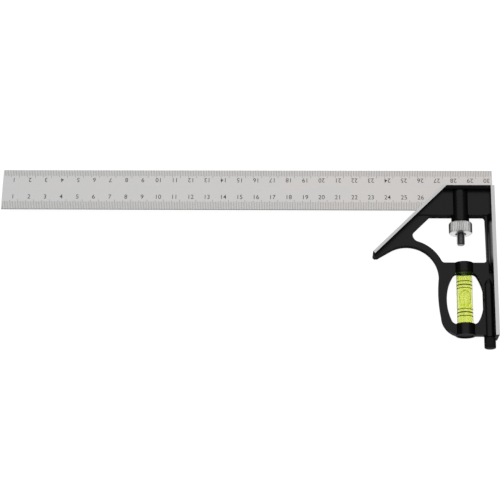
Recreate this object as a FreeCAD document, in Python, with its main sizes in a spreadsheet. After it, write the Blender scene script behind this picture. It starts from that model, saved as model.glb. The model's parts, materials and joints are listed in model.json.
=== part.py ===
"""Combination square: a 300 mm steel rule that slides in a cast head.

Frame: the origin is the square corner, where the rule's lower edge (the seat
of the slot) meets the head's square face, half way through the rule's
thickness.  +X points out of the square face, +Y out of the slot's open edge
and +Z out of the tool's front.  All sizes are millimetres.
"""
import FreeCAD
import Part
import Sketcher
import math
import os

doc = FreeCAD.newDocument("combination_square")
sheet = doc.addObject("Spreadsheet::Sheet", "Sizes")

SIZES = (
    # steel rule
    ("rule_length", 300.0, "rule, end to end"),
    ("rule_inset", 0.4, "end of the rule behind the square face, at rest"),
    ("rule_width", 25.4, "rule, edge to edge"),
    ("rule_thick", 1.0, "rule thickness"),
    ("groove_width", 3.2, "lock groove in the back of the rule"),
    ("groove_depth", 0.6, "depth of the lock groove"),
    # head casting: levels
    ("rim_depth", 14.0, "full depth of the rim, front to back"),
    ("panel_depth", 7.0, "depth of the slotted panel"),
    ("arm_depth", 5.0, "depth of the web that makes the arms"),
    ("top_height", 13.7, "top edge above the rule's seat"),
    ("panel_drop", 4.0, "lower edge of the panel below the seat"),
    ("face_drop", 79.0, "lower end of the square face below the seat"),
    ("web_drop", 78.0, "lower edge of the web below the seat"),
    ("miter_offset", 44.7, "45 degree face crosses the seat this far left"),
    ("tip_drop", 28.3, "tip of the 45 degree face below the seat"),
    ("rim_square", 2.2, "rim width along the square face"),
    ("rim_miter", 1.75, "rim width along the 45 degree face"),
    ("rim_top", 2.2, "rim width along the top edge"),
    ("flank_reach", 2.4, "rounded flank beside the window, out from the rim"),
    ("flank_rise", 4.4, "height of that flank above the web"),
    ("flank_radius", 5.4, "radius of that flank"),
    ("flank_overlap", 0.4, "flank runs this far into the rim"),
    ("flank_foot", 6.0, "flank runs on below the window"),
    # head casting: lower outline
    ("hollow_x", 52.85, "centre of the hollow under the 45 degree arm"),
    ("hollow_y", 42.4, "the same centre, below the seat"),
    ("hollow_radius", 19.05, "radius of the hollow"),
    ("hollow_start", 9.2, "end of the hollow, left of its centre"),
    ("nose_x", 71.4, "lower corner of the tip"),
    ("nose_y", 31.3, "the same corner, below the seat"),
    ("nose_round", 1.4, "radius of the tip's lower corner"),
    ("loop_radius", 84.0, "long curve down the loop's outside"),
    ("loop_x", 33.0, "lower end of that curve"),
    ("loop_y", 66.9, "the same end, below the seat"),
    ("heel_radius", 12.0, "curve round the loop's lower corner"),
    ("heel_x", 24.9, "end of the heel curve"),
    ("heel_y", 77.8, "the same end, below the seat"),
    # head casting: openings
    ("window_right", 5.65, "window's upper right corner from the square face"),
    ("window_foot_right", 5.3, "window's lower right corner from the square face"),
    ("window_bottom", 33.8, "window's lower edge below the seat"),
    ("window_miter", 34.5, "window's 45 degree edge crosses the seat here"),
    ("arm_width", 3.75, "curved arm between the hollow and the window"),
    ("window_nose", 4.4, "radius of the window's left corner"),
    ("window_round", 2.2, "radius of the window's other corners"),
    ("bay_x", 18.7, "middle of the vial bay from the square face"),
    ("bay_half_top", 5.9, "half width of the vial bay at its upper end"),
    ("bay_half_low", 6.8, "half width of the vial bay at its lower end"),
    ("bay_lean", 0.6, "lower end of the vial bay, left of its upper end"),
    ("bay_top", 40.2, "upper edge of the vial bay below the seat"),
    ("bay_bottom", 71.6, "lower edge of the vial bay below the seat"),
    ("bay_radius_left", 30.6, "radius of the bay's bowed left side"),
    ("bay_radius_right", 27.4, "radius of its bowed right side"),
    ("bay_round", 3.4, "corner radius of the vial bay"),
    # rule slot and clamp
    ("slot_width", 1.2, "slot for the rule"),
    ("clamp_x", 20.3, "clamp axis from the square face"),
    ("clamp_boss", 10.6, "width of the clamp boss"),
    ("clamp_boss_spread", 0.6, "its round front and back stand this far off the middle"),
    ("clamp_boss_drop", 7.6, "lower end of the clamp boss below the seat"),
    ("clamp_bore", 5.2, "bore for the lock bolt"),
    ("spring_bore", 7.6, "counterbore for the spring"),
    ("spring_shelf", 1.6, "end of the counterbore below the seat"),
    ("bolt_guide", 5.0, "diameter of the bolt's plain guide"),
    ("bolt_thread", 4.9, "diameter over the bolt's thread"),
    ("bolt_end", 22.2, "lower end of the bolt below the seat"),
    ("bolt_chamfer", 0.6, "chamfer of the bolt's lower end"),
    ("bolt_guide_end", 3.0, "start of the thread below the seat"),
    ("bolt_shoulder", 0.5, "shoulder of the bolt below the rule"),
    ("bolt_top", 13.0, "top of the bolt above the seat"),
    ("bolt_flat", 0.7, "flat of the bolt behind the rule's middle"),
    ("hook_reach", 0.65, "reach of the hook into the groove"),
    ("hook_width", 2.6, "width of the hook"),
    ("hook_root", 0.3, "hook's root inside the bolt"),
    ("hook_gap", 0.02, "hook above the groove's lower flank"),
    ("nut_gap", 0.45, "gap between the clamp boss and the nut"),
    ("nut_diameter", 14.0, "clamp nut over its knurl"),
    ("nut_height", 7.2, "clamp nut height"),
    ("nut_bore", 5.0, "bore of the clamp nut"),
    ("nut_sink", 6.6, "countersink of the clamp nut"),
    ("nut_chamfer", 0.7, "chamfers of the clamp nut"),
    ("spring_outer", 7.2, "spring, outside"),
    ("spring_inner", 5.6, "spring, inside"),
    # spirit vial
    ("vial_x", 19.0, "vial axis from the square face"),
    ("vial_boss", 11.7, "diameter of the vial bosses"),
    ("vial_bore", 9.5, "bore for the vial"),
    ("vial_diameter", 9.4, "vial, outside"),
    ("vial_inner", 7.0, "vial, inside"),
    ("vial_top", 36.2, "upper end of the vial below the seat"),
    ("vial_length", 40.0, "vial, end to end"),
    ("vial_floor", 2.5, "closed end of the vial"),
    ("vial_plug_length", 4.5, "stopper in the vial's open end"),
    ("vial_pad", 0.8, "bedding above the vial"),
    ("bore_plug", 1.5, "plug that closes the vial bore"),
    ("upper_boss_top", 33.8, "upper vial boss, start below the seat"),
    ("upper_boss_end", 39.9, "upper vial boss, end below the seat"),
    ("lower_boss_top", 71.3, "lower vial boss, start below the seat"),
    ("lower_boss_end", 78.3, "lower vial boss, end below the seat"),
    ("bubble_width", 6.4, "bubble across the vial"),
    ("bubble_length", 10.2, "bubble along the vial"),
    ("bubble_deep", 3.6, "bubble from front to back"),
    ("bubble_rise", 2.2, "bubble's middle in front of the vial axis"),
    ("bubble_y", 56.0, "bubble's middle below the seat"),
    # scriber
    ("scriber_x", 5.0, "scriber axis from the square face"),
    ("scriber_boss", 7.0, "scriber boss diameter"),
    ("scriber_boss_top", 47.0, "full width of the scriber boss starts here"),
    ("scriber_taper", 7.0, "length of the boss's tapered start"),
    ("scriber_taper_tip", 3.0, "diameter of the taper's thin end"),
    ("scriber_bore", 2.6, "bore for the scriber"),
    ("scriber_bore_end", 39.3, "blind end of that bore below the seat"),
    ("sleeve_diameter", 4.0, "friction sleeve, outside"),
    ("sleeve_inner", 2.08, "friction sleeve, inside"),
    ("sleeve_length", 8.0, "friction sleeve length"),
    ("needle_diameter", 2.0, "scriber needle"),
    ("needle_top", 39.9, "point of the needle below the seat"),
    ("needle_tip", 0.3, "blunt end of the needle's point"),
    ("needle_taper", 5.0, "length of the needle's point"),
    ("needle_end", 84.6, "end of the needle inside the knob"),
    ("knob_gap", 0.2, "gap between the head and the knob"),
    ("knob_diameter", 6.8, "scriber knob"),
    ("knob_length", 6.4, "scriber knob length"),
    ("knob_chamfer", 0.5, "end chamfers of the knob"),
    # every cut
    ("overcut", 1.0, "cuts run this far past the surface that they open"),
)

NEAR = 0.05             # an edge within this distance of a point is at that point
EXACT = 1e-3            # the same, for the centre and radius of a ring


class Size:
    """A length that carries its sheet expression and its present value."""

    def __init__(self, text, value):
        self.text = text
        self.value = value

    def _join(self, other, sign, value):
        return Size("(%s %s %s)" % (self.text, sign, other.text), value)

    def __add__(self, other):
        other = as_size(other)
        return self._join(other, "+", self.value + other.value)

    def __sub__(self, other):
        other = as_size(other)
        return self._join(other, "-", self.value - other.value)

    def __mul__(self, other):
        other = as_size(other)
        return self._join(other, "*", self.value * other.value)

    def __truediv__(self, other):
        other = as_size(other)
        return self._join(other, "/", self.value / other.value)

    def __neg__(self):
        return Size("(0 - %s)" % self.text, -self.value)


def as_size(value):
    """Turn a plain number into a Size."""
    if isinstance(value, Size):
        return value
    return Size(repr(float(value)), float(value))


SZ = {}
for line, (alias, value, note) in enumerate(SIZES, 1):
    sheet.set("A%d" % line, note)
    sheet.set("B%d" % line, str(value))
    sheet.setAlias("B%d" % line, alias)
    SZ[alias] = Size("Sizes." + alias, value)
doc.recompute()


def s(alias):
    """The Size behind one alias of the sheet."""
    return SZ[alias]


# ---------------------------------------------------------------- helpers

def new_body(label):
    body = doc.addObject("PartDesign::Body", label)
    body.Label = label
    return body


def plane(body, role):
    """One of a body's own origin planes."""
    for feature in body.Origin.OriginFeatures:
        if feature.Role == role:
            return feature
    raise RuntimeError("no plane " + role)


def attach(feature, body, role, x=0.0, y=0.0, z=0.0):
    """Fix a feature to an origin plane with bound offsets."""
    feature.AttachmentSupport = [(plane(body, role), "")]
    feature.MapMode = "FlatFace"
    for axis, value in (("x", x), ("y", y), ("z", z)):
        value = as_size(value)
        if value.value != 0.0:
            feature.setExpression("AttachmentOffset.Base." + axis, value.text)


def bind(feature, **sizes):
    """Bind properties of a feature to sheet expressions."""
    for name, value in sizes.items():
        value = as_size(value)
        setattr(feature, name, value.value)
        feature.setExpression(name, value.text)


def rod(body, name, x, top, end, diameter, z=0.0, cut=False):
    """Round bar or bore along Y, from `top` down to `end`."""
    kind = "PartDesign::SubtractiveCylinder" if cut else "PartDesign::AdditiveCylinder"
    bar = body.newObject(kind, name)
    attach(bar, body, "XZ_Plane", x=x, y=z, z=-as_size(top))
    bind(bar, Radius=as_size(diameter) / 2, Height=as_size(top) - end)
    return bar


def cone(body, name, x, top, end, top_diameter, end_diameter, cut=False):
    """Cone along Y, from `top` down to `end`."""
    kind = "PartDesign::SubtractiveCone" if cut else "PartDesign::AdditiveCone"
    part = body.newObject(kind, name)
    attach(part, body, "XZ_Plane", x=x, z=-as_size(top))
    bind(part, Radius1=as_size(top_diameter) / 2,
         Radius2=as_size(end_diameter) / 2, Height=as_size(top) - end)
    return part


def block(body, name, low, high, cut=False):
    """Box between two corners, each an (x, y, z) of sizes."""
    kind = "PartDesign::SubtractiveBox" if cut else "PartDesign::AdditiveBox"
    low = [as_size(v) for v in low]
    high = [as_size(v) for v in high]
    box = body.newObject(kind, name)
    attach(box, body, "XY_Plane", x=low[0], y=low[1], z=low[2])
    bind(box, Length=high[0] - low[0], Width=high[1] - low[1],
         Height=high[2] - low[2])
    return box


def pin(sketch, geo, pos, point, tag):
    """Hold one sketch point at bound coordinates."""
    for axis, kind, value in ((-2, "DistanceX", point[0]), (-1, "DistanceY", point[1])):
        value = as_size(value)
        if value.value == 0.0:
            sketch.addConstraint(Sketcher.Constraint("PointOnObject", geo, pos, axis))
            continue
        index = sketch.addConstraint(
            Sketcher.Constraint(kind, -1, 1, geo, pos, value.value))
        name = "%s_%s" % (tag, kind[-1].lower())
        sketch.renameConstraint(index, name)
        sketch.setExpression("Constraints." + name, value.text)


def loop(sketch, tag, path):
    """Closed outline.  `path` holds (x, y) or (x, y, radius, turn) items; the
    last two shape the edge that leaves the point: turn +1 is counter-clockwise."""
    points = [(as_size(p[0]), as_size(p[1])) for p in path]
    ends = []
    for i, item in enumerate(path):
        a, b = points[i], points[(i + 1) % len(path)]
        va = FreeCAD.Vector(a[0].value, a[1].value, 0)
        vb = FreeCAD.Vector(b[0].value, b[1].value, 0)
        if len(item) == 2:
            geo = sketch.addGeometry(Part.LineSegment(va, vb), False)
            ends.append((geo, 1, 2, None))
            continue
        radius, turn = as_size(item[2]), item[3]
        half = (vb - va).Length / 2
        rise = math.sqrt(radius.value ** 2 - half ** 2)
        along = (vb - va).normalize()
        left = FreeCAD.Vector(-along.y, along.x, 0)
        centre = (va + vb) * 0.5 + left * (rise * turn)
        first, last = (va, vb) if turn > 0 else (vb, va)
        start = math.atan2(first.y - centre.y, first.x - centre.x)
        stop = math.atan2(last.y - centre.y, last.x - centre.x)
        if stop < start:
            stop += 2 * math.pi
        circle = Part.Circle(centre, FreeCAD.Vector(0, 0, 1), radius.value)
        geo = sketch.addGeometry(Part.ArcOfCircle(circle, start, stop), False)
        ends.append((geo,) + ((1, 2) if turn > 0 else (2, 1)) + (radius,))
    for i, (geo, start, stop, radius) in enumerate(ends):
        nxt = ends[(i + 1) % len(ends)]
        sketch.addConstraint(Sketcher.Constraint("Coincident", geo, stop, nxt[0], nxt[1]))
        if radius is not None:
            index = sketch.addConstraint(Sketcher.Constraint("Radius", geo, radius.value))
            name = "%s%d_radius" % (tag, i)
            sketch.renameConstraint(index, name)
            sketch.setExpression("Constraints." + name, radius.text)
    for i, (geo, start, stop, radius) in enumerate(ends):
        pin(sketch, geo, start, points[i], "%s%d" % (tag, i))


def new_sketch(body, name, role="XY_Plane", z=0.0):
    sketch = body.newObject("Sketcher::SketchObject", name)
    attach(sketch, body, role, z=z)
    return sketch


def pad(body, name, sketch, length, midplane=True):
    feature = body.newObject("PartDesign::Pad", name)
    feature.Profile = sketch
    if midplane:
        feature.SideType = "Symmetric"
    bind(feature, Length=length)
    return feature


def round_edges(body, base, name, radius, chosen):
    """Fillet the edges of `base` that `chosen` picks."""
    doc.recompute()
    names = ["Edge%d" % (i + 1) for i, edge in enumerate(base.Shape.Edges) if chosen(edge)]
    if not names:
        raise RuntimeError("no edges for " + name)
    fillet = body.newObject("PartDesign::Fillet", name)
    fillet.Base = (base, names)
    bind(fillet, Radius=radius)
    doc.recompute()
    return fillet


def bevel_ends(body, base, name, size, chosen):
    """Chamfer the edges of `base` that `chosen` picks."""
    doc.recompute()
    names = ["Edge%d" % (i + 1) for i, edge in enumerate(base.Shape.Edges) if chosen(edge)]
    chamfer = body.newObject("PartDesign::Chamfer", name)
    chamfer.Base = (base, names)
    bind(chamfer, Size=size)
    doc.recompute()
    return chamfer


def upright(edge, x, y):
    """True for an edge along Z that stands at (x, y)."""
    ends = [v.Point for v in edge.Vertexes]
    return (len(ends) == 2 and abs(ends[0].z - ends[1].z) > NEAR
            and all(math.hypot(p.x - x, p.y - y) < NEAR for p in ends))


def ring_at(edge, y, radius):
    """True for a circle round a Y axis at height y."""
    curve = edge.Curve
    return (isinstance(curve, Part.Circle) and abs(abs(curve.Axis.y) - 1) < EXACT
            and abs(curve.Center.y - y) < EXACT and abs(curve.Radius - radius) < EXACT)


# ------------------------------------------------------------- head casting

def make_head():
    body = new_body("head_casting")
    top, face = s("top_height"), s("face_drop")
    corner_x = s("top_height") - s("miter_offset")
    tip_x = -(s("tip_drop") + s("miter_offset"))

    # web with the window and the vial bay
    web = new_sketch(body, "web_outline")
    loop(web, "web", (
        (0, top),
        (corner_x, top),
        (tip_x, -s("tip_drop")),
        (-s("nose_x"), -s("nose_y")),
        (-(s("hollow_x") + s("hollow_start")), hollow_height(s("hollow_start")),
         s("hollow_radius"), -1),
        (s("hollow_radius") - s("hollow_x"), -s("hollow_y"), s("loop_radius"), 1),
        (-s("loop_x"), -s("loop_y"), s("heel_radius"), 1),
        (-s("heel_x"), -s("heel_y")),
        (-s("vial_x"), -s("web_drop")),
        (0, -s("web_drop")),
    ))
    inner = s("hollow_radius") + s("arm_width")
    loop(web, "win", (
        (-s("window_right"), -s("panel_drop")),
        (-(s("window_miter") + s("panel_drop")), -s("panel_drop")),
        window_nose() + (inner, -1),
        (window_foot(), -s("window_bottom")),
        (-s("window_foot_right"), -s("window_bottom")),
    ))
    bay_foot = -s("bay_x") - s("bay_lean")
    bay = (
        (-s("bay_x") + s("bay_half_top"), -s("bay_top")),
        (-s("bay_x") - s("bay_half_top"), -s("bay_top")),
        (bay_foot - s("bay_half_low"), -s("bay_bottom")),
        (bay_foot + s("bay_half_low"), -s("bay_bottom")),
    )
    loop(web, "bay", (bay[0], bay[1] + (s("bay_radius_left"), 1),
                      bay[2], bay[3] + (s("bay_radius_right"), 1)))
    plate = pad(body, "web", web, s("arm_depth"))

    nose = [v.value for v in window_nose()]
    plate = round_edges(body, plate, "window_nose_round", s("window_nose"),
                        lambda e: upright(e, nose[0], nose[1]))
    plate = round_edges(body, plate, "nose_round_off", s("nose_round"),
                        lambda e: upright(e, -s("nose_x").value, -s("nose_y").value))
    corners = (
        (-s("window_right").value, -s("panel_drop").value),
        (-s("window_miter").value - s("panel_drop").value, -s("panel_drop").value),
        (window_foot().value, -s("window_bottom").value),
        (-s("window_foot_right").value, -s("window_bottom").value),
    )
    plate = round_edges(body, plate, "window_rounds", s("window_round"),
                        lambda e: any(upright(e, x, y) for x, y in corners))
    plate = round_edges(body, plate, "bay_rounds", s("bay_round"),
                        lambda e: any(upright(e, x.value, y.value) for x, y in bay))

    # thicker panel that holds the slot
    panel = new_sketch(body, "panel_outline")
    loop(panel, "panel", (
        (0, top),
        (corner_x, top),
        (-(s("miter_offset") + s("panel_drop")), -s("panel_drop")),
        (0, -s("panel_drop")),
    ))
    pad(body, "panel", panel, s("panel_depth"))

    # rim along the 45 degree face, the top edge and the square face
    line = s("miter_offset") - s("rim_miter") * math.sqrt(2.0)   # inner edge: x = y - line
    shelf = top - s("rim_top")
    end_x = tip_x + s("rim_miter") / math.sqrt(2.0)
    end_y = -s("tip_drop") - s("rim_miter") / math.sqrt(2.0)
    rim = new_sketch(body, "rim_outline")
    loop(rim, "rim", (
        (0, top),
        (corner_x, top),
        (tip_x, -s("tip_drop")),
        (end_x, end_y),
        (shelf - line, shelf),
        (-s("rim_square"), shelf),
        (-s("rim_square"), -face),
        (0, -face),
    ))
    flange = pad(body, "rim", rim, s("rim_depth"))
    body.Tip = flange

    # the rim beside the window: a rounded flank down to the web
    flank_profile = new_sketch(body, "flank_profile", "XZ_Plane", z=s("panel_drop"))
    root, rise = s("arm_depth") / 2, s("flank_rise")
    inside = s("flank_overlap") - s("rim_square")
    foot = -s("rim_square") - s("flank_reach")
    loop(flank_profile, "flank", (
        (inside, -root - rise),
        (inside, root + rise),
        (-s("rim_square"), root + rise, s("flank_radius"), 1),
        (foot, root),
        (foot, -root, s("flank_radius"), 1),
        (-s("rim_square"), -root - rise),
    ))
    pad(body, "flank", flank_profile,
        s("window_bottom") - s("panel_drop") + s("flank_foot"), midplane=False)

    # bosses
    boss_x, boss_end, spread = -s("clamp_x"), -s("clamp_boss_drop"), s("clamp_boss_spread")
    rod(body, "clamp_boss_front", boss_x, top, boss_end, s("clamp_boss"), z=spread)
    rod(body, "clamp_boss_back", boss_x, top, boss_end, s("clamp_boss"), z=-spread)
    block(body, "clamp_boss_middle", (boss_x - s("clamp_boss") / 2, boss_end, -spread),
          (boss_x + s("clamp_boss") / 2, top, spread))
    rod(body, "upper_vial_boss", -s("vial_x"), -s("upper_boss_top"),
        -s("upper_boss_end"), s("vial_boss"))
    rod(body, "lower_vial_boss", -s("vial_x"), -s("lower_boss_top"),
        -s("lower_boss_end"), s("vial_boss"))
    rod(body, "scriber_boss", -s("scriber_x"), -s("scriber_boss_top"), -face,
        s("scriber_boss"))
    last = cone(body, "scriber_boss_taper", -s("scriber_x"),
                -s("scriber_boss_top") + s("scriber_taper"), -s("scriber_boss_top"),
                s("scriber_taper_tip"), s("scriber_boss"))
    body.Tip = last

    # bores and the rule's slot
    past = s("overcut")
    block(body, "rule_slot", (-s("miter_offset") - past, 0, -s("slot_width") / 2),
          (past, top + past, s("slot_width") / 2), cut=True)
    rod(body, "clamp_bore", boss_x, top + past, boss_end - past, s("clamp_bore"), cut=True)
    rod(body, "spring_counterbore", boss_x, -s("spring_shelf"), boss_end - past,
        s("spring_bore"), cut=True)
    rod(body, "vial_bore_hole", -s("vial_x"), -s("vial_top") + s("vial_pad"),
        -s("lower_boss_end") - past, s("vial_bore"), cut=True)
    rod(body, "scriber_bore_hole", -s("scriber_x"), -s("scriber_bore_end"), -face - past,
        s("scriber_bore"), cut=True)
    last = rod(body, "sleeve_bore_hole", -s("scriber_x"), s("sleeve_length") - face,
               -face - past, s("sleeve_diameter"), cut=True)
    body.Tip = last
    return body


def hollow_height(offset):
    """Height of the hollow's circle, `offset` to the left of its centre."""
    radius = s("hollow_radius")
    rise = math.sqrt(radius.value ** 2 - offset.value ** 2)
    text = "sqrt(%s ^ 2 - %s ^ 2)" % (radius.text, offset.text)
    return Size(text, rise) - s("hollow_y")


def window_foot():
    """x where the curved arm's inner edge reaches the window's lower edge."""
    radius = s("hollow_radius") + s("arm_width")
    drop = s("hollow_y") - s("window_bottom")
    run = math.sqrt(radius.value ** 2 - drop.value ** 2)
    return Size("sqrt(%s ^ 2 - %s ^ 2)" % (radius.text, drop.text), run) - s("hollow_x")


def window_nose():
    """Where the window's 45 degree edge meets the curved arm's inner edge."""
    radius = s("hollow_radius") + s("arm_width")
    # along the line x = y - window_miter, measured from the hollow's centre
    gap = s("window_miter") + s("hollow_y") - s("hollow_x")
    reach = math.sqrt(2 * radius.value ** 2 - gap.value ** 2)
    root = Size("sqrt(2 * %s ^ 2 - %s ^ 2)" % (radius.text, gap.text), reach)
    y_off = (gap + root) / 2
    x_off = y_off - gap
    return x_off - s("hollow_x"), y_off - s("hollow_y")


# ----------------------------------------------------------------- the rule

def make_rule():
    body = new_body("rule")
    blade = new_sketch(body, "rule_outline")
    end = -s("rule_inset")
    start = end - s("rule_length")
    loop(blade, "blade", (
        (start, 0), (end, 0), (end, s("rule_width")), (start, s("rule_width"))))
    pad(body, "blade", blade, s("rule_thick"))
    middle = s("rule_width") / 2
    cut = block(body, "lock_groove",
                (start - s("overcut"), middle - s("groove_width") / 2, -s("rule_thick")),
                (s("overcut"), middle + s("groove_width") / 2,
                 s("groove_depth") - s("rule_thick") / 2),
                cut=True)
    body.Tip = cut
    return body


# -------------------------------------------------------------- rule clamp

def make_lock_bolt():
    body = new_body("lock_bolt")
    x = -s("clamp_x")
    rod(body, "thread_blank", x, -s("bolt_guide_end"), -s("bolt_end"), s("bolt_thread"))
    shank = rod(body, "guide", x, s("bolt_top"), -s("bolt_guide_end"), s("bolt_guide"))
    end, radius = -s("bolt_end").value, s("bolt_thread").value / 2
    bevel_ends(body, shank, "end_chamfer", s("bolt_chamfer"),
               lambda e: ring_at(e, end, radius))
    block(body, "rule_clearance",
          (x - s("bolt_guide"), -s("bolt_shoulder"), -s("bolt_flat")),
          (x + s("bolt_guide"), s("bolt_top") + s("overcut"), s("bolt_guide")), cut=True)
    flank = s("rule_width") / 2 - s("groove_width") / 2 + s("hook_gap")
    hook = block(body, "hook", (x - s("hook_width") / 2, flank, -s("bolt_flat") - s("hook_root")),
                 (x + s("hook_width") / 2, s("bolt_top"), s("hook_reach") - s("bolt_flat")))
    body.Tip = hook
    return body


def make_clamp_nut():
    body = new_body("clamp_nut")
    x = -s("clamp_x")
    top = -s("clamp_boss_drop") - s("nut_gap")
    end = top - s("nut_height")
    blank = rod(body, "nut_blank", x, top, end, s("nut_diameter"))
    radius = s("nut_diameter").value / 2
    bevel_ends(body, blank, "rim_chamfers", s("nut_chamfer"),
               lambda e: ring_at(e, top.value, radius) or ring_at(e, end.value, radius))
    rod(body, "nut_thread_bore", x, top + s("overcut"), end - s("overcut"), s("nut_bore"),
        cut=True)
    sink = (s("nut_sink") - s("nut_bore")) / 2
    body.Tip = cone(body, "nut_countersink", x, end + sink, end,
                    s("nut_bore"), s("nut_sink"), cut=True)
    return body


def make_lock_spring():
    """Envelope of the coil spring that pushes the nut away from the head."""
    body = new_body("lock_spring")
    x = -s("clamp_x")
    top, end = -s("spring_shelf"), -s("clamp_boss_drop") - s("nut_gap")
    rod(body, "coil_outside", x, top, end, s("spring_outer"))
    body.Tip = rod(body, "coil_inside", x, top + s("overcut"), end - s("overcut"),
                   s("spring_inner"), cut=True)
    return body


# -------------------------------------------------------------- spirit vial

def make_vial_tube():
    body = new_body("vial_tube")
    x, top = -s("vial_x"), -s("vial_top")
    rod(body, "barrel", x, top, top - s("vial_length"), s("vial_diameter"))
    body.Tip = rod(body, "chamber", x, top + s("overcut"),
                   top - s("vial_length") + s("vial_floor"), s("vial_inner"), cut=True)
    return body


def make_vial_liquid():
    """Liquid with the bubble's hollow against the front of the chamber."""
    height = s("vial_length") - s("vial_floor") - s("vial_plug_length")
    fill = doc.addObject("Part::Cylinder", "liquid_fill")
    bind(fill, Radius=s("vial_inner") / 2, Height=height)
    low = -s("vial_top") - s("vial_length") + s("vial_floor")
    place(fill, -s("vial_x"), low, 0, along_y=True)
    bubble = doc.addObject("Part::Ellipsoid", "bubble")
    bind(bubble, Radius1=s("bubble_deep") / 2, Radius2=s("bubble_width") / 2,
         Radius3=s("bubble_length") / 2)
    place(bubble, -s("vial_x"), -s("bubble_y"), s("bubble_rise"))
    cut = doc.addObject("Part::Cut", "vial_liquid")
    cut.Base, cut.Tool = fill, bubble
    cut.Label = "vial_liquid"
    return cut


def place(feature, x, y, z, along_y=False):
    """Set and bind a primitive's position; optionally lay its axis along +Y."""
    if along_y:
        spin = FreeCAD.Rotation(FreeCAD.Vector(1, 0, 0), -90)
        feature.Placement = FreeCAD.Placement(FreeCAD.Vector(), spin)
    for axis, value in (("x", x), ("y", y), ("z", z)):
        value = as_size(value)
        if value.value != 0.0:
            feature.setExpression("Placement.Base." + axis, value.text)


def make_disc(label, x, top, end, diameter):
    """Plain round piece along Y."""
    body = new_body(label)
    body.Tip = rod(body, label + "_round", x, top, end, diameter)
    return body


# ------------------------------------------------------------------ scriber

def make_scriber_sleeve():
    body = new_body("scriber_sleeve")
    x, end = -s("scriber_x"), -s("face_drop")
    rod(body, "sleeve_outside", x, end + s("sleeve_length"), end, s("sleeve_diameter"))
    body.Tip = rod(body, "sleeve_inside", x, end + s("sleeve_length") + s("overcut"),
                   end - s("overcut"), s("sleeve_inner"), cut=True)
    return body


def make_scriber_needle():
    body = new_body("scriber_needle")
    x = -s("scriber_x")
    shoulder = -s("needle_top") - s("needle_taper")
    rod(body, "needle_shank", x, shoulder, -s("needle_end"), s("needle_diameter"))
    body.Tip = cone(body, "needle_point", x, -s("needle_top"), shoulder, s("needle_tip"),
                    s("needle_diameter"))
    return body


def make_scriber_knob():
    body = new_body("scriber_knob")
    x = -s("scriber_x")
    top = -s("face_drop") - s("knob_gap")
    end = top - s("knob_length")
    blank = rod(body, "knob_blank", x, top, end, s("knob_diameter"))
    radius = s("knob_diameter").value / 2
    bevel_ends(body, blank, "knob_chamfers", s("knob_chamfer"),
               lambda e: ring_at(e, top.value, radius) or ring_at(e, end.value, radius))
    body.Tip = rod(body, "needle_socket", x, top + s("overcut"), -s("needle_end"),
                   s("needle_diameter"), cut=True)
    return body


def main():
    vial_x, vial_top = -s("vial_x"), -s("vial_top")
    parts = [
        make_head(), make_rule(), make_lock_bolt(), make_lock_spring(),
        make_clamp_nut(), make_vial_tube(), make_vial_liquid(),
        make_disc("vial_stopper", vial_x, vial_top, vial_top - s("vial_plug_length"),
                  s("vial_inner")),
        make_disc("vial_bedding", vial_x, vial_top + s("vial_pad"), vial_top,
                  s("vial_diameter")),
        make_disc("vial_bore_plug", vial_x, vial_top - s("vial_length"),
                  vial_top - s("vial_length") - s("bore_plug"), s("vial_bore")),
        make_scriber_sleeve(), make_scriber_needle(), make_scriber_knob(),
    ]
    doc.recompute()
    for thing in doc.Objects:
        bad = [state for state in thing.State if state in ("Invalid", "Error")]
        if bad:
            raise RuntimeError("%s is %s" % (thing.Name, bad))
    os.makedirs("parts", exist_ok=True)
    for part in parts:
        shape = part.Shape
        if shape.isNull() or not shape.isValid() or not shape.Solids:
            raise RuntimeError("bad shape: " + part.Label)
        box = shape.BoundBox
        print("%-16s solids %d  volume %9.2f  x %.2f..%.2f  y %.2f..%.2f  z %.2f..%.2f" % (
            part.Label, len(shape.Solids), shape.Volume, box.XMin, box.XMax,
            box.YMin, box.YMax, box.ZMin, box.ZMax))
        shape.exportStep("parts/%s.step" % part.Label)


main()
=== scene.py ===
"""Looks of the combination square: materials, engraved scale, knurls, thread,
spring, vial lines, soft studio light and the camera."""
import bpy
import bmesh
import json
import math
from mathutils import Matrix, Vector

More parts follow.
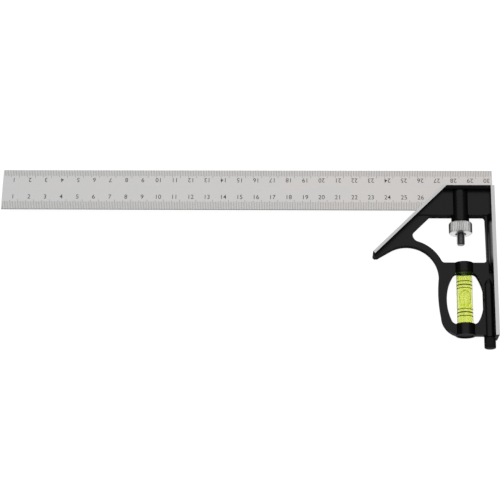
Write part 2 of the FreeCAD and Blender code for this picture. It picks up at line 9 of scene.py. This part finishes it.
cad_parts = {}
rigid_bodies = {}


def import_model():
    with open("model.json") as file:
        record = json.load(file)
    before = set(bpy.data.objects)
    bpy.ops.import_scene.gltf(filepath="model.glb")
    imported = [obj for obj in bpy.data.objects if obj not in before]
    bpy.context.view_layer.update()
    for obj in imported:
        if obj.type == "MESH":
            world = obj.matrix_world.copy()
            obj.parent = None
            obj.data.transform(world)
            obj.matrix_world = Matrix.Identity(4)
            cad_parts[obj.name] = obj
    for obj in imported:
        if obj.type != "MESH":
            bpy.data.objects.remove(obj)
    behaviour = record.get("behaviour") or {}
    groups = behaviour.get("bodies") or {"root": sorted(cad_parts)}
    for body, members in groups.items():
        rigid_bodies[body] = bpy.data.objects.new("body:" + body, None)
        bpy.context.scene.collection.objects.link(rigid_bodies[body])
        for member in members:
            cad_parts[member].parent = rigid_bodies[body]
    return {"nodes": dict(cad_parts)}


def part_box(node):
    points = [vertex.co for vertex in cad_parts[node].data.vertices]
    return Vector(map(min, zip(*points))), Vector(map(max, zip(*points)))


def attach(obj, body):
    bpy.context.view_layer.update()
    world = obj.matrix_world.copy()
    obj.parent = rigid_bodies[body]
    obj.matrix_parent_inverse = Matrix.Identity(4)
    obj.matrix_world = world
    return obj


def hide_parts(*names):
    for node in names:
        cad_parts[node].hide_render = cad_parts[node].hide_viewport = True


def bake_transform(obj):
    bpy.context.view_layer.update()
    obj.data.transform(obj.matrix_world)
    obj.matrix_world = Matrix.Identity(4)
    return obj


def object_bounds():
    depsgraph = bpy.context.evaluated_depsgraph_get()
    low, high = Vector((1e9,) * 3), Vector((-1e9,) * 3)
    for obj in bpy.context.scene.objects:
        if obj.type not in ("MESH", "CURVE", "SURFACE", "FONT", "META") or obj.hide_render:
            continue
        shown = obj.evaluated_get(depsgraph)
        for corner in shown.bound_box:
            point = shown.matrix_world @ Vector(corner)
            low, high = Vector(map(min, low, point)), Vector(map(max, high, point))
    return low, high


MM = 0.001
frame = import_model()
NODES = frame["nodes"]
CAD_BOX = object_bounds()
STEEL_PIECES = ("rule", "scriber_needle")     # what the fill lights reach
RULE_MM, LAST_NUMBER = 300, 30
NUT_RIBS, KNOB_RIBS, STEPS_PER_RIB = 34, 26, 8
BOSS_END = -39.95 * MM                        # lower end of the upper vial boss


# ------------------------------------------------------------ node helpers

class Nodes:
    """Short way to build a material's node tree."""

    def __init__(self, name):
        self.material = bpy.data.materials.new(name)
        self.material.use_nodes = True
        self.tree = self.material.node_tree
        self.tree.nodes.clear()
        self.out = self.tree.nodes.new("ShaderNodeOutputMaterial")
        self.shader = self.add("ShaderNodeBsdfPrincipled")
        self.tree.links.new(self.shader.outputs[0], self.out.inputs["Surface"])
        self.coord = self.add("ShaderNodeTexCoord").outputs["Object"]

    def add(self, kind, **values):
        node = self.tree.nodes.new(kind)
        for key, value in values.items():
            setattr(node, key, value)
        return node

    def link(self, source, target):
        self.tree.links.new(source, target)

    def set(self, **values):
        for key, value in values.items():
            self.shader.inputs[key.replace("_", " ")].default_value = value

    def maths(self, operation, a, b=0.0):
        node = self.add("ShaderNodeMath", operation=operation)
        for socket, value in zip(node.inputs, (a, b)):
            if isinstance(value, (int, float)):
                socket.default_value = value
            else:
                self.link(value, socket)
        return node.outputs[0]

    def scaled(self, sx, sy, sz):
        node = self.add("ShaderNodeMapping")
        node.inputs["Scale"].default_value = (sx, sy, sz)
        self.link(self.coord, node.inputs["Vector"])
        return node.outputs[0]

    def noise(self, scale=(1000, 1000, 1000), detail=3.0, rough=0.55):
        node = self.add("ShaderNodeTexNoise")
        self.link(self.scaled(*scale), node.inputs["Vector"])
        node.inputs["Scale"].default_value = 1.0
        node.inputs["Detail"].default_value = detail
        node.inputs["Roughness"].default_value = rough
        return node.outputs["Fac"]

    def spread(self, value, low, high, out_low, out_high):
        node = self.add("ShaderNodeMapRange")
        for index, number in enumerate((low, high, out_low, out_high), 1):
            node.inputs[index].default_value = number
        self.link(value, node.inputs[0])
        return node.outputs[0]

    def mix(self, factor, a, b):
        node = self.add("ShaderNodeMix", data_type="RGBA")
        self.link(factor, node.inputs[0])
        for socket, value in ((node.inputs[6], a), (node.inputs[7], b)):
            if isinstance(value, tuple):
                socket.default_value = value + (1.0,)
            else:
                self.link(value, socket)
        return node.outputs[2]

    def bump(self, height, distance, strength=1.0):
        node = self.add("ShaderNodeBump")
        node.inputs["Strength"].default_value = strength
        node.inputs["Distance"].default_value = distance
        self.link(height, node.inputs["Height"])
        self.link(node.outputs[0], self.shader.inputs["Normal"])

    def xyz(self):
        node = self.add("ShaderNodeSeparateXYZ")
        self.link(self.coord, node.inputs[0])
        return node.outputs


def steel_material(name, colour, rough, grain, streak=0.06, bump=2e-6):
    """Metal with a fine grain: `grain` is the noise scale along X, Y and Z."""
    n = Nodes(name)
    fine = n.noise(grain, detail=4.0)
    broad = n.noise((30, 60, 60), detail=2.0)
    dark = tuple(c * (1 - streak) for c in colour)
    light = tuple(min(1.0, c * (1 + streak)) for c in colour)
    n.link(n.mix(n.spread(fine, 0.3, 0.7, 0, 1), dark, light), n.shader.inputs["Base Color"])
    n.link(n.maths("ADD", n.spread(fine, 0.3, 0.7, rough - 0.05, rough + 0.05),
                   n.spread(broad, 0.3, 0.7, -0.03, 0.03)), n.shader.inputs["Roughness"])
    n.set(Metallic=1.0)
    n.bump(fine, bump)
    return n.material


def rule_material():
    """Satin rolled steel: grain along the rule, faint cloudy warmth."""
    n = Nodes("rule_steel")
    grain = n.noise((60, 5200, 5200), detail=5.0, rough=0.6)
    cloud = n.noise((26, 90, 90), detail=2.0)
    x = n.xyz()[0]
    warm = n.maths("ADD", n.spread(x, -0.30, -0.02, 0.0, 0.8),
                   n.spread(cloud, 0.35, 0.65, -0.15, 0.15))
    base = n.mix(warm, (0.640, 0.642, 0.637), (0.690, 0.655, 0.636))
    shade = n.mix(n.spread(grain, 0.3, 0.7, 0.0, 1.0), (0.93, 0.93, 0.93), (1.0, 1.0, 1.0))
    mul = n.add("ShaderNodeMix", data_type="RGBA", blend_type="MULTIPLY")
    mul.inputs[0].default_value = 1.0
    n.link(base, mul.inputs[6])
    n.link(shade, mul.inputs[7])
    n.link(mul.outputs[2], n.shader.inputs["Base Color"])
    n.link(n.spread(grain, 0.3, 0.7, 0.36, 0.48), n.shader.inputs["Roughness"])
    n.set(Metallic=1.0)
    n.bump(grain, 1.5e-6)
    return n.material


def head_material():
    """Gloss black paint with bare ground edges on the 45 degree and square faces, painted shade on the
    top flange's front and a painted reflection on the flank beside the window.
    """
    head = NODES["head_casting"].data.vertices
    front = max(v.co.z for v in head)
    miter_face = max(v.co.y - v.co.x for v in head)
    square_strip, miter_strip, skin = 2.2 * MM, 1.75 * MM * math.sqrt(2), 0.06 * MM
    top_flange, seat_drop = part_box("head_casting")[1].y - 2.2 * MM, -4.0 * MM
    n = Nodes("head_paint")
    x, y, z = n.xyz()
    depth = n.maths("ABSOLUTE", z)
    across = n.maths("SUBTRACT", y, x)               # grows toward the 45 degree face
    at_front = n.maths("GREATER_THAN", depth, front - 0.3 * MM)
    side = n.maths("MAXIMUM", n.maths("GREATER_THAN", x, -square_strip),
                   n.maths("GREATER_THAN", across, miter_face - miter_strip))
    edge = n.maths("MULTIPLY", at_front, side)
    face = n.maths("MAXIMUM", n.maths("GREATER_THAN", x, -skin),
                   n.maths("GREATER_THAN", across, miter_face - skin))
    bare = n.maths("MAXIMUM", edge, face)
    # painted reflection: a grey ramp toward the ground strip on the rounded flank beside the window,
    # standing in for the light the gloss flank reflects there
    web_skin, flank_foot, fade_power = 2.56 * MM, 4.5 * MM, 1.85
    along = n.maths("MULTIPLY", n.spread(y, -35.5 * MM, -30.0 * MM, 0, 1),
                    n.spread(y, -10.5 * MM, -8.5 * MM, 1, 0))
    flank_sheen = n.maths("MULTIPLY", n.maths("GREATER_THAN", depth, web_skin), along)
    fade = n.maths("POWER", n.spread(x, -flank_foot, -square_strip, 0, 1), fade_power)
    flank_sheen = n.maths("MULTIPLY", flank_sheen, fade)
    grind = n.noise((700, 700, 9000), detail=3.0)
    peel = n.noise((900, 900, 900), detail=2.0)
    deep = n.mix(n.spread(peel, 0.3, 0.7, 0, 1), (0.0045, 0.0045, 0.0048), (0.0065, 0.0064, 0.0068))
    web = n.mix(n.spread(peel, 0.3, 0.7, 0, 1), (0.0068, 0.0066, 0.0066), (0.0088, 0.0085, 0.0085))
    on_web = n.maths("MULTIPLY", n.maths("LESS_THAN", depth, 2.7 * MM),
                     n.maths("LESS_THAN", y, seat_drop))
    coat = n.mix(on_web, deep, web)
    # painted shade: the front of the top flange is coated near black and made 0.75 metallic so it
    # reflects little, standing in for the shade it shows
    shaded_flange = n.maths("MULTIPLY", at_front, n.maths("GREATER_THAN", y, top_flange))
    coat = n.mix(shaded_flange, coat, (0.0022, 0.0022, 0.0024))
    metal = n.mix(n.spread(grind, 0.3, 0.7, 0, 1), (0.55, 0.555, 0.55), (0.66, 0.66, 0.655))
    # grey of the painted flank reflection laid over the paint
    coat = n.mix(flank_sheen, coat, (0.55, 0.55, 0.55))
    n.link(n.mix(bare, coat, metal), n.shader.inputs["Base Color"])
    n.link(n.maths("MAXIMUM", bare, n.maths("MULTIPLY", shaded_flange, 0.75)), n.shader.inputs["Metallic"])
    rough = n.add("ShaderNodeMix", data_type="FLOAT")
    n.link(bare, rough.inputs[0])
    n.link(n.spread(peel, 0.3, 0.7, 0.26, 0.34), rough.inputs[2])
    n.link(n.spread(grind, 0.3, 0.7, 0.34, 0.46), rough.inputs[3])
    n.link(rough.outputs[0], n.shader.inputs["Roughness"])
    n.shader.inputs["Specular IOR Level"].default_value = 0.22
    n.bump(peel, 6e-6)
    return n.material


def plastic_material(name, colour, rough, gloss=0.5, bump=4e-6, scale=2500):
    n = Nodes(name)
    grain = n.noise((scale, scale, scale), detail=3.0)
    n.link(n.mix(n.spread(grain, 0.3, 0.7, 0, 1), tuple(c * 0.9 for c in colour),
                 tuple(c * 1.1 for c in colour)), n.shader.inputs["Base Color"])
    n.link(n.spread(grain, 0.3, 0.7, rough - 0.04, rough + 0.04), n.shader.inputs["Roughness"])
    n.shader.inputs["Specular IOR Level"].default_value = gloss
    n.bump(grain, bump)
    return n.material


def clear_material(name, light, deep, rough, ior):
    """Clear tinted plastic or liquid with faint clouding."""
    n = Nodes(name)
    cloud = n.noise((500, 160, 500), detail=2.0)
    n.link(n.mix(n.spread(cloud, 0.3, 0.7, 0, 1), light, deep), n.shader.inputs["Base Color"])
    n.link(n.spread(cloud, 0.3, 0.7, rough, rough + 0.008), n.shader.inputs["Roughness"])
    n.set(IOR=ior)
    n.shader.inputs["Transmission Weight"].default_value = 1.0
    return n.material


def ink_material(name, dark, light):
    """Matt filler in engraved lines, worn in places."""
    n = Nodes(name)
    wear = n.noise((3000, 3000, 3000), detail=4.0)
    n.link(n.mix(n.spread(wear, 0.35, 0.65, 0, 1), dark, light), n.shader.inputs["Base Color"])
    n.link(n.spread(wear, 0.3, 0.7, 0.5, 0.7), n.shader.inputs["Roughness"])
    return n.material


# ------------------------------------------------------------ mesh helpers

def finish_mesh(name, bm, material, body, smooth_angle=None):
    """Mesh object that rides on a body; without one, the caller says what it follows."""
    mesh = bpy.data.meshes.new(name)
    bm.normal_update()
    bm.to_mesh(mesh)
    bm.free()
    obj = bpy.data.objects.new(name, mesh)
    bpy.context.scene.collection.objects.link(obj)
    mesh.materials.append(material)
    if smooth_angle is not None:
        mesh.polygons.foreach_set("use_smooth", [True] * len(mesh.polygons))
        mesh.update()
        mesh.set_sharp_from_angle(angle=math.radians(smooth_angle))
    if body:
        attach(obj, body)
    return obj


def lathe(bm, axis_x, rows, steps, closed=False):
    """Skin round a Y axis at (axis_x, z 0).  Each row is (y, section), and a section
    is a radius, or a function of the angle that gives a radius or an (x, z) offset.
    closed joins the last row to the first; otherwise both ends are capped."""
    rings = []
    for y, section in rows:
        ring = []
        for i in range(steps):
            angle = 2 * math.pi * i / steps
            spot = section(angle) if callable(section) else section
            if not isinstance(spot, tuple):
                spot = (spot * math.sin(angle), spot * math.cos(angle))
            ring.append(bm.verts.new((axis_x + spot[0], y, spot[1])))
        rings.append(ring)
    pairs = list(zip(rings, rings[1:]))
    if closed:
        pairs.append((rings[-1], rings[0]))
    for first, second in pairs:
        for i in range(steps):
            j = (i + 1) % steps
            bm.faces.new((first[i], first[j], second[j], second[i]))
    if not closed:
        bm.faces.new(rings[0])
        bm.faces.new(list(reversed(rings[-1])))
    bmesh.ops.recalc_face_normals(bm, faces=bm.faces)


def round_node(node):
    """Axis x, radius, upper y and lower y of a CAD node that is round about Y."""
    low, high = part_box(node)
    return (low.x + high.x) / 2, (high.x - low.x) / 2, high.y, low.y


def ribbed(radius, depth, count):
    """Section of a straight knurl: rounded crests with sharp valleys."""
    def section(angle):
        return radius - depth * (1 - abs(math.sin(count * angle / 2)))
    return section


INK = ink_material("scale_ink", (0.06, 0.058, 0.055), (0.13, 0.125, 0.12))
# dark green for the band of painted shade below the upper vial boss
STOPPER_SHADE = plastic_material("stopper_painted_shade", (0.045, 0.105, 0.014), 0.4)
VIAL_INK = ink_material("vial_ink", (0.03, 0.035, 0.002), (0.05, 0.055, 0.004))
STEEL = rule_material()


def paint(node, material):
    obj = NODES[node]
    obj.data.materials.clear()
    obj.data.materials.append(material)
    return obj


def soften(obj, width):
    """Small rounded edges on a CAD node, by modifiers alone."""
    flat = obj.modifiers.new("merge_flats", "DECIMATE")
    flat.decimate_type = "DISSOLVE"
    flat.angle_limit = math.radians(1.0)
    bevel = obj.modifiers.new("edge_round", "BEVEL")
    bevel.width = width
    bevel.segments = 2
    bevel.limit_method = "ANGLE"
    bevel.angle_limit = math.radians(30)
    bevel.harden_normals = True


# -------------------------------------------------------------------- rule

def make_scale():
    """Millimetre lines on both long edges, longer every fifth and tenth."""
    low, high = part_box("rule")
    top, inset, width = high.z + 0.006 * MM, 0.05 * MM, 0.17 * MM
    bm = bmesh.new()

    def line(x, y0, y1):
        corners = ((x - width / 2, y0), (x + width / 2, y0),
                   (x + width / 2, y1), (x - width / 2, y1))
        bm.faces.new([bm.verts.new((cx, cy, top)) for cx, cy in corners])

    for mm in range(1, RULE_MM):
        x = low.x + mm * MM
        if mm % 10 == 0:
            reach, reach_top = 6.2, 5.0
        elif mm % 5 == 0:
            reach, reach_top = 5.6, 4.6
        else:
            reach, reach_top = 4.9, 3.8
        line(x, low.y + inset, low.y + reach * MM)
        line(x, high.y - reach_top * MM, high.y - inset)
    finish_mesh("rule_scale_lines", bm, INK, "blade")


def make_digits():
    """Centimetre numbers in two rows; the upper row reads from the other edge."""
    low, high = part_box("rule")
    depsgraph = bpy.context.evaluated_depsgraph_get()
    bm = bmesh.new()
    for number in range(1, LAST_NUMBER + 1):
        for upper in (False, True):
            if number == LAST_NUMBER and not upper:
                continue
            curve = bpy.data.curves.new("digit", "FONT")
            curve.body = str(number)
            curve.size = 3.9 * MM
            curve.space_character = 1.05
            curve.align_x = "CENTER"
            curve.align_y = "CENTER"
            curve.offset = 0.015 * MM
            text = bpy.data.objects.new("digit", curve)
            bpy.context.scene.collection.objects.link(text)
            bpy.context.view_layer.update()
            mesh = text.evaluated_get(depsgraph).to_mesh()
            back = 3.17 if number < 10 else 3.37
            x = low.x + (number * 10 - back) * MM
            y = high.y - 6.3 * MM if upper else low.y + 7.9 * MM
            turn = Matrix.Rotation(math.pi if upper else 0.0, 4, "Z")
            place = Matrix.Translation((x, y, high.z + 0.007 * MM)) @ turn
            copy = bmesh.new()
            copy.from_mesh(mesh)
            bmesh.ops.transform(copy, matrix=place, verts=copy.verts)
            part = bpy.data.meshes.new("part")
            copy.to_mesh(part)
            copy.free()
            bm.from_mesh(part)
            bpy.data.meshes.remove(part)
            text.to_mesh_clear()
            bpy.data.objects.remove(text)
            bpy.data.curves.remove(curve)
    finish_mesh("rule_numbers", bm, INK, "blade")


# ------------------------------------------------------------ turned pieces

def make_nut():
    """Clamp nut: straight knurl between two chamfers, countersunk bore."""
    axis_x, radius, top, low = round_node("clamp_nut")
    top -= 0.03 * MM                     # clear of the boss when fully clamped
    chamfer, bore, sink = 0.7 * MM, 2.5 * MM, 3.3 * MM
    knurl = ribbed(radius, 0.42 * MM, NUT_RIBS)
    shallow = ribbed(radius - 0.25 * MM, 0.2 * MM, NUT_RIBS)
    bm = bmesh.new()
    lathe(bm, axis_x, (
        (top, bore), (top, radius - 2.0 * chamfer), (top - 0.45 * chamfer, radius - chamfer),
        (top - 0.9 * chamfer, shallow), (top - 1.7 * chamfer, knurl),
        (low + chamfer, knurl), (low + 0.35 * chamfer, shallow),
        (low, radius - 1.3 * chamfer), (low, sink), (low + (sink - bore), bore)),
        NUT_RIBS * STEPS_PER_RIB, closed=True)
    piece = finish_mesh("clamp_nut_knurled", bm, NUT, "nut", smooth_angle=32)
    # painted shade: the bore and countersink take a near-black steel, standing in for the shade inside
    # the hole
    piece.data.materials.append(BORE_SHADE)
    for face in piece.data.polygons:
        reach = math.hypot(face.center.x - axis_x, face.center.z)
        if reach < sink - 0.05 * MM:
            face.material_index = 1
    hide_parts("clamp_nut")


def half_round(radius, flat):
    """Section of the bolt behind the rule: a circle cut off at z = -flat."""
    corner = math.acos(-flat / radius)
    half_width = radius * math.sin(corner)

    def section(angle):
        side = angle if angle <= math.pi else angle - 2 * math.pi
        if abs(side) < corner:
            return half_width * side / corner, -flat
        return radius * math.sin(angle), radius * math.cos(angle)
    return section


def make_bolt():
    """Lock bolt: half-round top with its hook, plain guide, M5 thread."""
    axis_x, guide, top, low = round_node("lock_bolt")
    flat, shoulder, guide_end = 0.7 * MM, -0.5 * MM, -3.0 * MM
    crest, depth, pitch = 2.45 * MM, 0.42 * MM, 0.8 * MM
    chamfer, rows_per_turn = 0.6 * MM, 8
    half = half_round(guide, flat)

    def thread(y):
        fade = min(1.0, (guide_end - y) / pitch)
        limit = crest - chamfer + (y - low)

        def section(angle):
            turn = (y / pitch + angle / (2 * math.pi)) % 1.0
            groove = min(1.0, max(0.0, (0.4375 - abs(turn - 0.5)) / 0.3125))
            return min(crest - depth * fade * groove, limit)
        return section

    count = round((guide_end - low) / pitch * rows_per_turn)
    step = (guide_end - low) / count
    rows = [(top, half_round(guide - 0.2 * MM, flat)), (top - 0.2 * MM, half), (shoulder, half),
            (shoulder, guide), (guide_end, guide)]
    rows += [(guide_end - step * i, thread(guide_end - step * i)) for i in range(count + 1)]
    bm = bmesh.new()
    lathe(bm, axis_x, rows, 48)
    hook = bmesh.ops.create_cube(bm, size=1.0)["verts"]
    width, height, reach, root = 2.6 * MM, 1.88 * MM, 0.65 * MM, 0.3 * MM
    size = Matrix.Diagonal((width, height, reach + root, 1.0))
    place = Matrix.Translation((axis_x, top - height / 2, (reach - root) / 2 - flat))
    bmesh.ops.transform(bm, matrix=place @ size, verts=hook)
    piece = finish_mesh("lock_bolt_threaded", bm, BOLT, "bolt", smooth_angle=30)
    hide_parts("lock_bolt")


def make_spring():
    """Coil spring with closed ends, between the head and the clamp nut."""
    axis_x, outer, top, low = round_node("lock_spring")
    wire, turns, per_turn, sides = 0.40 * MM, 5, 36, 10
    mean = outer - wire
    start, end = top - 0.5 * MM - wire, low + wire      # clears the seat while the bolt lifts

    def height(turn):
        if turn < 1:
            return start - 2 * wire * turn
        if turn > turns - 1:
            return end + 2 * wire * (turns - turn)
        free = (start - end) - 4 * wire
        return start - 2 * wire - free * (turn - 1) / (turns - 2)

    bm = bmesh.new()
    rings = []
    for i in range(turns * per_turn + 1):
        turn = i / per_turn
        angle = 2 * math.pi * turn
        ring = []
        for k in range(sides):
            around = 2 * math.pi * k / sides
            reach = mean + wire * math.cos(around)
            ring.append(bm.verts.new((axis_x + reach * math.sin(angle),
                                      height(turn) + wire * math.sin(around),
                                      reach * math.cos(angle))))
        rings.append(ring)
    for first, second in zip(rings, rings[1:]):
        for k in range(sides):
            j = (k + 1) % sides
            bm.faces.new((first[k], first[j], second[j], second[k]))
    bm.faces.new(rings[0])
    bm.faces.new(list(reversed(rings[-1])))
    bmesh.ops.recalc_face_normals(bm, faces=bm.faces)
    piece = finish_mesh("lock_spring_coil", bm, SPRING, None, smooth_angle=60)
    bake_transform(piece)
    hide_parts("lock_spring")


def make_knob():
    """Scriber knob: fine ribs between rounded ends, socket for the needle."""
    axis_x, radius, top, low = round_node("scriber_knob")
    socket_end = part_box("scriber_needle")[0].y
    needle, edge = 1.0 * MM, 0.5 * MM
    ribs = ribbed(radius, 0.16 * MM, KNOB_RIBS)
    bm = bmesh.new()
    lathe(bm, axis_x, (
        (socket_end, needle), (top, needle), (top, radius - edge),
        (top - 0.3 * edge, radius - 0.4 * edge),
        (top - edge, ribs), (low + 1.4 * edge, ribs), (low + 0.4 * edge, radius - 0.4 * edge),
        (low, radius - 1.2 * edge)), KNOB_RIBS * STEPS_PER_RIB)
    piece = finish_mesh("scriber_knob_ribbed", bm, KNOB, "scriber", smooth_angle=32)
    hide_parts("scriber_knob")


def front_arc(bm, y, width):
    """Thin band round the vial's front, standing just proud of the tube."""
    axis_x, radius, _, _ = round_node("vial_tube")
    inner, outer, reach, steps = radius + 0.004 * MM, radius + 0.03 * MM, math.radians(78), 48
    rings = []
    for i in range(steps + 1):
        angle = reach * (2 * i / steps - 1)
        rings.append([bm.verts.new((axis_x + r * math.sin(angle), y + dy, r * math.cos(angle)))
                      for r, dy in ((inner, -width / 2), (outer, -width / 2),
                                    (outer, width / 2), (inner, width / 2))])
    for first, second in zip(rings, rings[1:]):
        for k in range(4):
            bm.faces.new((first[k], first[(k + 1) % 4], second[(k + 1) % 4], second[k]))
    bm.faces.new(rings[0])
    bm.faces.new(list(reversed(rings[-1])))
    bmesh.ops.recalc_face_normals(bm, faces=bm.faces)


def make_vial_lines():
    """Two groups of three centring lines on the vial's front, the middle one boldest,
    and a dark green band where the tube leaves the upper boss: painted shade, tinted as the stopper
    seen through the tube."""
    _, _, top, low = round_node("vial_tube")
    middle = (top + low) / 2 - 0.1 * MM
    for side, word in ((1, "upper"), (-1, "lower")):
        bm = bmesh.new()
        for offset, width in ((6.4, 0.42), (8.4, 0.66), (10.6, 0.48)):
            front_arc(bm, middle + side * offset * MM, width * MM)
        finish_mesh("vial_lines_" + word, bm, VIAL_INK, "head")
    # painted shade: a dark green band on the tube's front below the upper boss, the stopper's green as
    # seen through the tube, darkened
    stopper_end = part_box("vial_stopper")[0].y
    bm = bmesh.new()
    front_arc(bm, (BOSS_END + stopper_end) / 2, BOSS_END - stopper_end)
    finish_mesh("vial_painted_shade_band", bm, STOPPER_SHADE, "head")


def make_studio():
    """Pale floor, dim world, one overhead softbox and four fills for the bare steel."""
    floor_z = CAD_BOX[0].z - 0.02 * MM
    reach = 3.0
    bm = bmesh.new()
    bm.faces.new([bm.verts.new((sx * reach, sy * reach, floor_z))
                  for sx, sy in ((-1, -1), (1, -1), (1, 1), (-1, 1))])
    mesh = bpy.data.meshes.new("floor")
    bm.to_mesh(mesh)
    bm.free()
    floor = bpy.data.objects.new("floor", mesh)
    bpy.context.scene.collection.objects.link(floor)
    n = Nodes("pale_floor")
    n.set(Base_Color=(0.30, 0.30, 0.30, 1), Roughness=0.9)
    n.shader.inputs["Specular IOR Level"].default_value = 0.0
    n.shader.inputs["Emission Color"].default_value = (1, 1, 1, 1)
    path = n.add("ShaderNodeLightPath")
    seen = n.maths("MAXIMUM", path.outputs["Is Camera Ray"], path.outputs["Is Transmission Ray"])
    # a white card under the window, seen only in the reflections of nut and bolt,
    # and a weak one beyond the head for the knob
    card_x, card_half, card_top, card_low = -20 * MM, 12 * MM, -11 * MM, -36 * MM
    far_edge, far_strength, glow = -77 * MM, 0.2, 0.95
    x, y, _ = n.xyz()
    aside = n.maths("ABSOLUTE", n.maths("SUBTRACT", x, card_x))
    card = n.maths("MULTIPLY", n.maths("LESS_THAN", aside, card_half),
                   n.maths("LESS_THAN", y, card_top))
    card = n.maths("MULTIPLY", card, n.maths("GREATER_THAN", y, card_low))
    far = n.maths("MULTIPLY", n.maths("LESS_THAN", y, far_edge), far_strength)
    card = n.maths("MAXIMUM", card, far)
    seen = n.maths("MAXIMUM", seen, n.maths("MULTIPLY", card, path.outputs["Is Glossy Ray"]))
    n.link(n.maths("MULTIPLY", seen, glow), n.shader.inputs["Emission Strength"])
    mesh.materials.append(n.material)

    world = bpy.data.worlds.new("studio")
    world.use_nodes = True
    tree = world.node_tree
    back = tree.nodes["Background"]
    path = tree.nodes.new("ShaderNodeLightPath")
    pick = tree.nodes.new("ShaderNodeMapRange")
    pick.inputs[3].default_value = 0.06
    pick.inputs[4].default_value = 1.0
    tree.links.new(path.outputs["Is Camera Ray"], pick.inputs[0])
    tree.links.new(pick.outputs[0], back.inputs["Strength"])
    back.inputs["Color"].default_value = (1, 1, 1, 1)
    bpy.context.scene.world = world

    def softbox(name, location, target, size, power):
        light = bpy.data.lights.new(name, "AREA")
        light.shape = "RECTANGLE"
        light.size, light.size_y = size
        light.energy = power
        obj = bpy.data.objects.new(name, light)
        obj.location = location
        direction = Vector(target) - Vector(location)
        obj.rotation_euler = direction.to_track_quat("-Z", "Y").to_euler()
        bpy.context.scene.collection.objects.link(obj)
        return obj

    softbox("overhead", (-0.15, 0.25, 1.2), (-0.12, 0.0, 0), (1.9, 1.9), 11)

    # low fills for the bare steel, so that it stays light when seen from the sides
    steel = bpy.data.collections.new("steel_pieces")
    for obj in bpy.context.scene.objects:
        if obj.type == "MESH" and obj.name in STEEL_PIECES:
            steel.objects.link(obj)
    centre_x, reach, height, power = -0.15, 1.3, 0.62, 4.5
    for word, side_x, side_y in (("front", 0, -1), ("back", 0, 1), ("left", -1, 0), ("right", 1, 0)):
        place = (centre_x + reach * side_x, reach * side_y, height)
        fill = softbox("fill_" + word, place, (centre_x, 0, 0), (2.4, 0.9), power)
        fill.light_linking.receiver_collection = steel


def make_camera():
    """Perspective of the reference view, on the row frame's axes."""
    tilt, yaw, roll = 0.3161, 0.0550, 0.0218
    turn = (Matrix.Rotation(yaw, 3, "Y") @ Matrix.Rotation(tilt, 3, "X")
            @ Matrix.Rotation(roll, 3, "Z"))
    data = bpy.data.cameras.new("camera")
    data.sensor_width = 36.0
    data.lens = 97.96
    data.clip_start, data.clip_end = 0.01, 20
    camera = bpy.data.objects.new("camera", data)
    camera.matrix_world = (Matrix.Translation(Vector((-103.8312, -280.6822, 778.1144)) * MM)
                           @ turn.to_4x4())
    bpy.context.scene.collection.objects.link(camera)
    bpy.context.scene.camera = camera


paint("rule", STEEL)
soften(paint("head_casting", head_material()), 0.3 * MM)
BOLT = steel_material("bolt_steel", (0.30, 0.30, 0.305), 0.42, (2500, 2500, 2500))
NUT = steel_material("nut_steel", (0.80, 0.80, 0.79), 0.40, (3500, 900, 3500))
# near-black steel for the nut's bore: painted shade
BORE_SHADE = steel_material("nut_bore_painted_shade", (0.05, 0.05, 0.05), 0.5, (3000, 3000, 3000))
SPRING = steel_material("spring_steel", (0.5, 0.5, 0.5), 0.3, (4000, 4000, 4000))
KNOB = plastic_material("knob_plastic", (0.010, 0.010, 0.010), 0.35, gloss=0.15)
paint("vial_tube", clear_material("vial_acrylic", (0.965, 1.0, 0.62), (0.945, 0.995, 0.58), 0.0, 1.35))
paint("vial_liquid", clear_material("vial_spirit", (0.95, 1.0, 0.34), (0.93, 0.995, 0.30), 0.0, 1.2))
paint("vial_stopper", plastic_material("stopper_plastic", (0.20, 0.70, 0.10), 0.5))
paint("vial_bedding", plastic_material("bedding", (0.03, 0.03, 0.03), 0.7))
paint("vial_bore_plug", plastic_material("plug_plastic", (0.018, 0.018, 0.018), 0.5))
paint("scriber_sleeve", steel_material("sleeve_brass", (0.72, 0.50, 0.20), 0.3, (3000, 600, 3000)))
paint("scriber_needle", steel_material("needle_steel", (0.5, 0.5, 0.52), 0.25, (4000, 500, 4000)))
make_scale()
make_digits()
make_nut()
make_bolt()
make_spring()
make_knob()
make_vial_lines()
make_studio()
make_camera()
bpy.context.scene.view_settings.view_transform = "Standard"
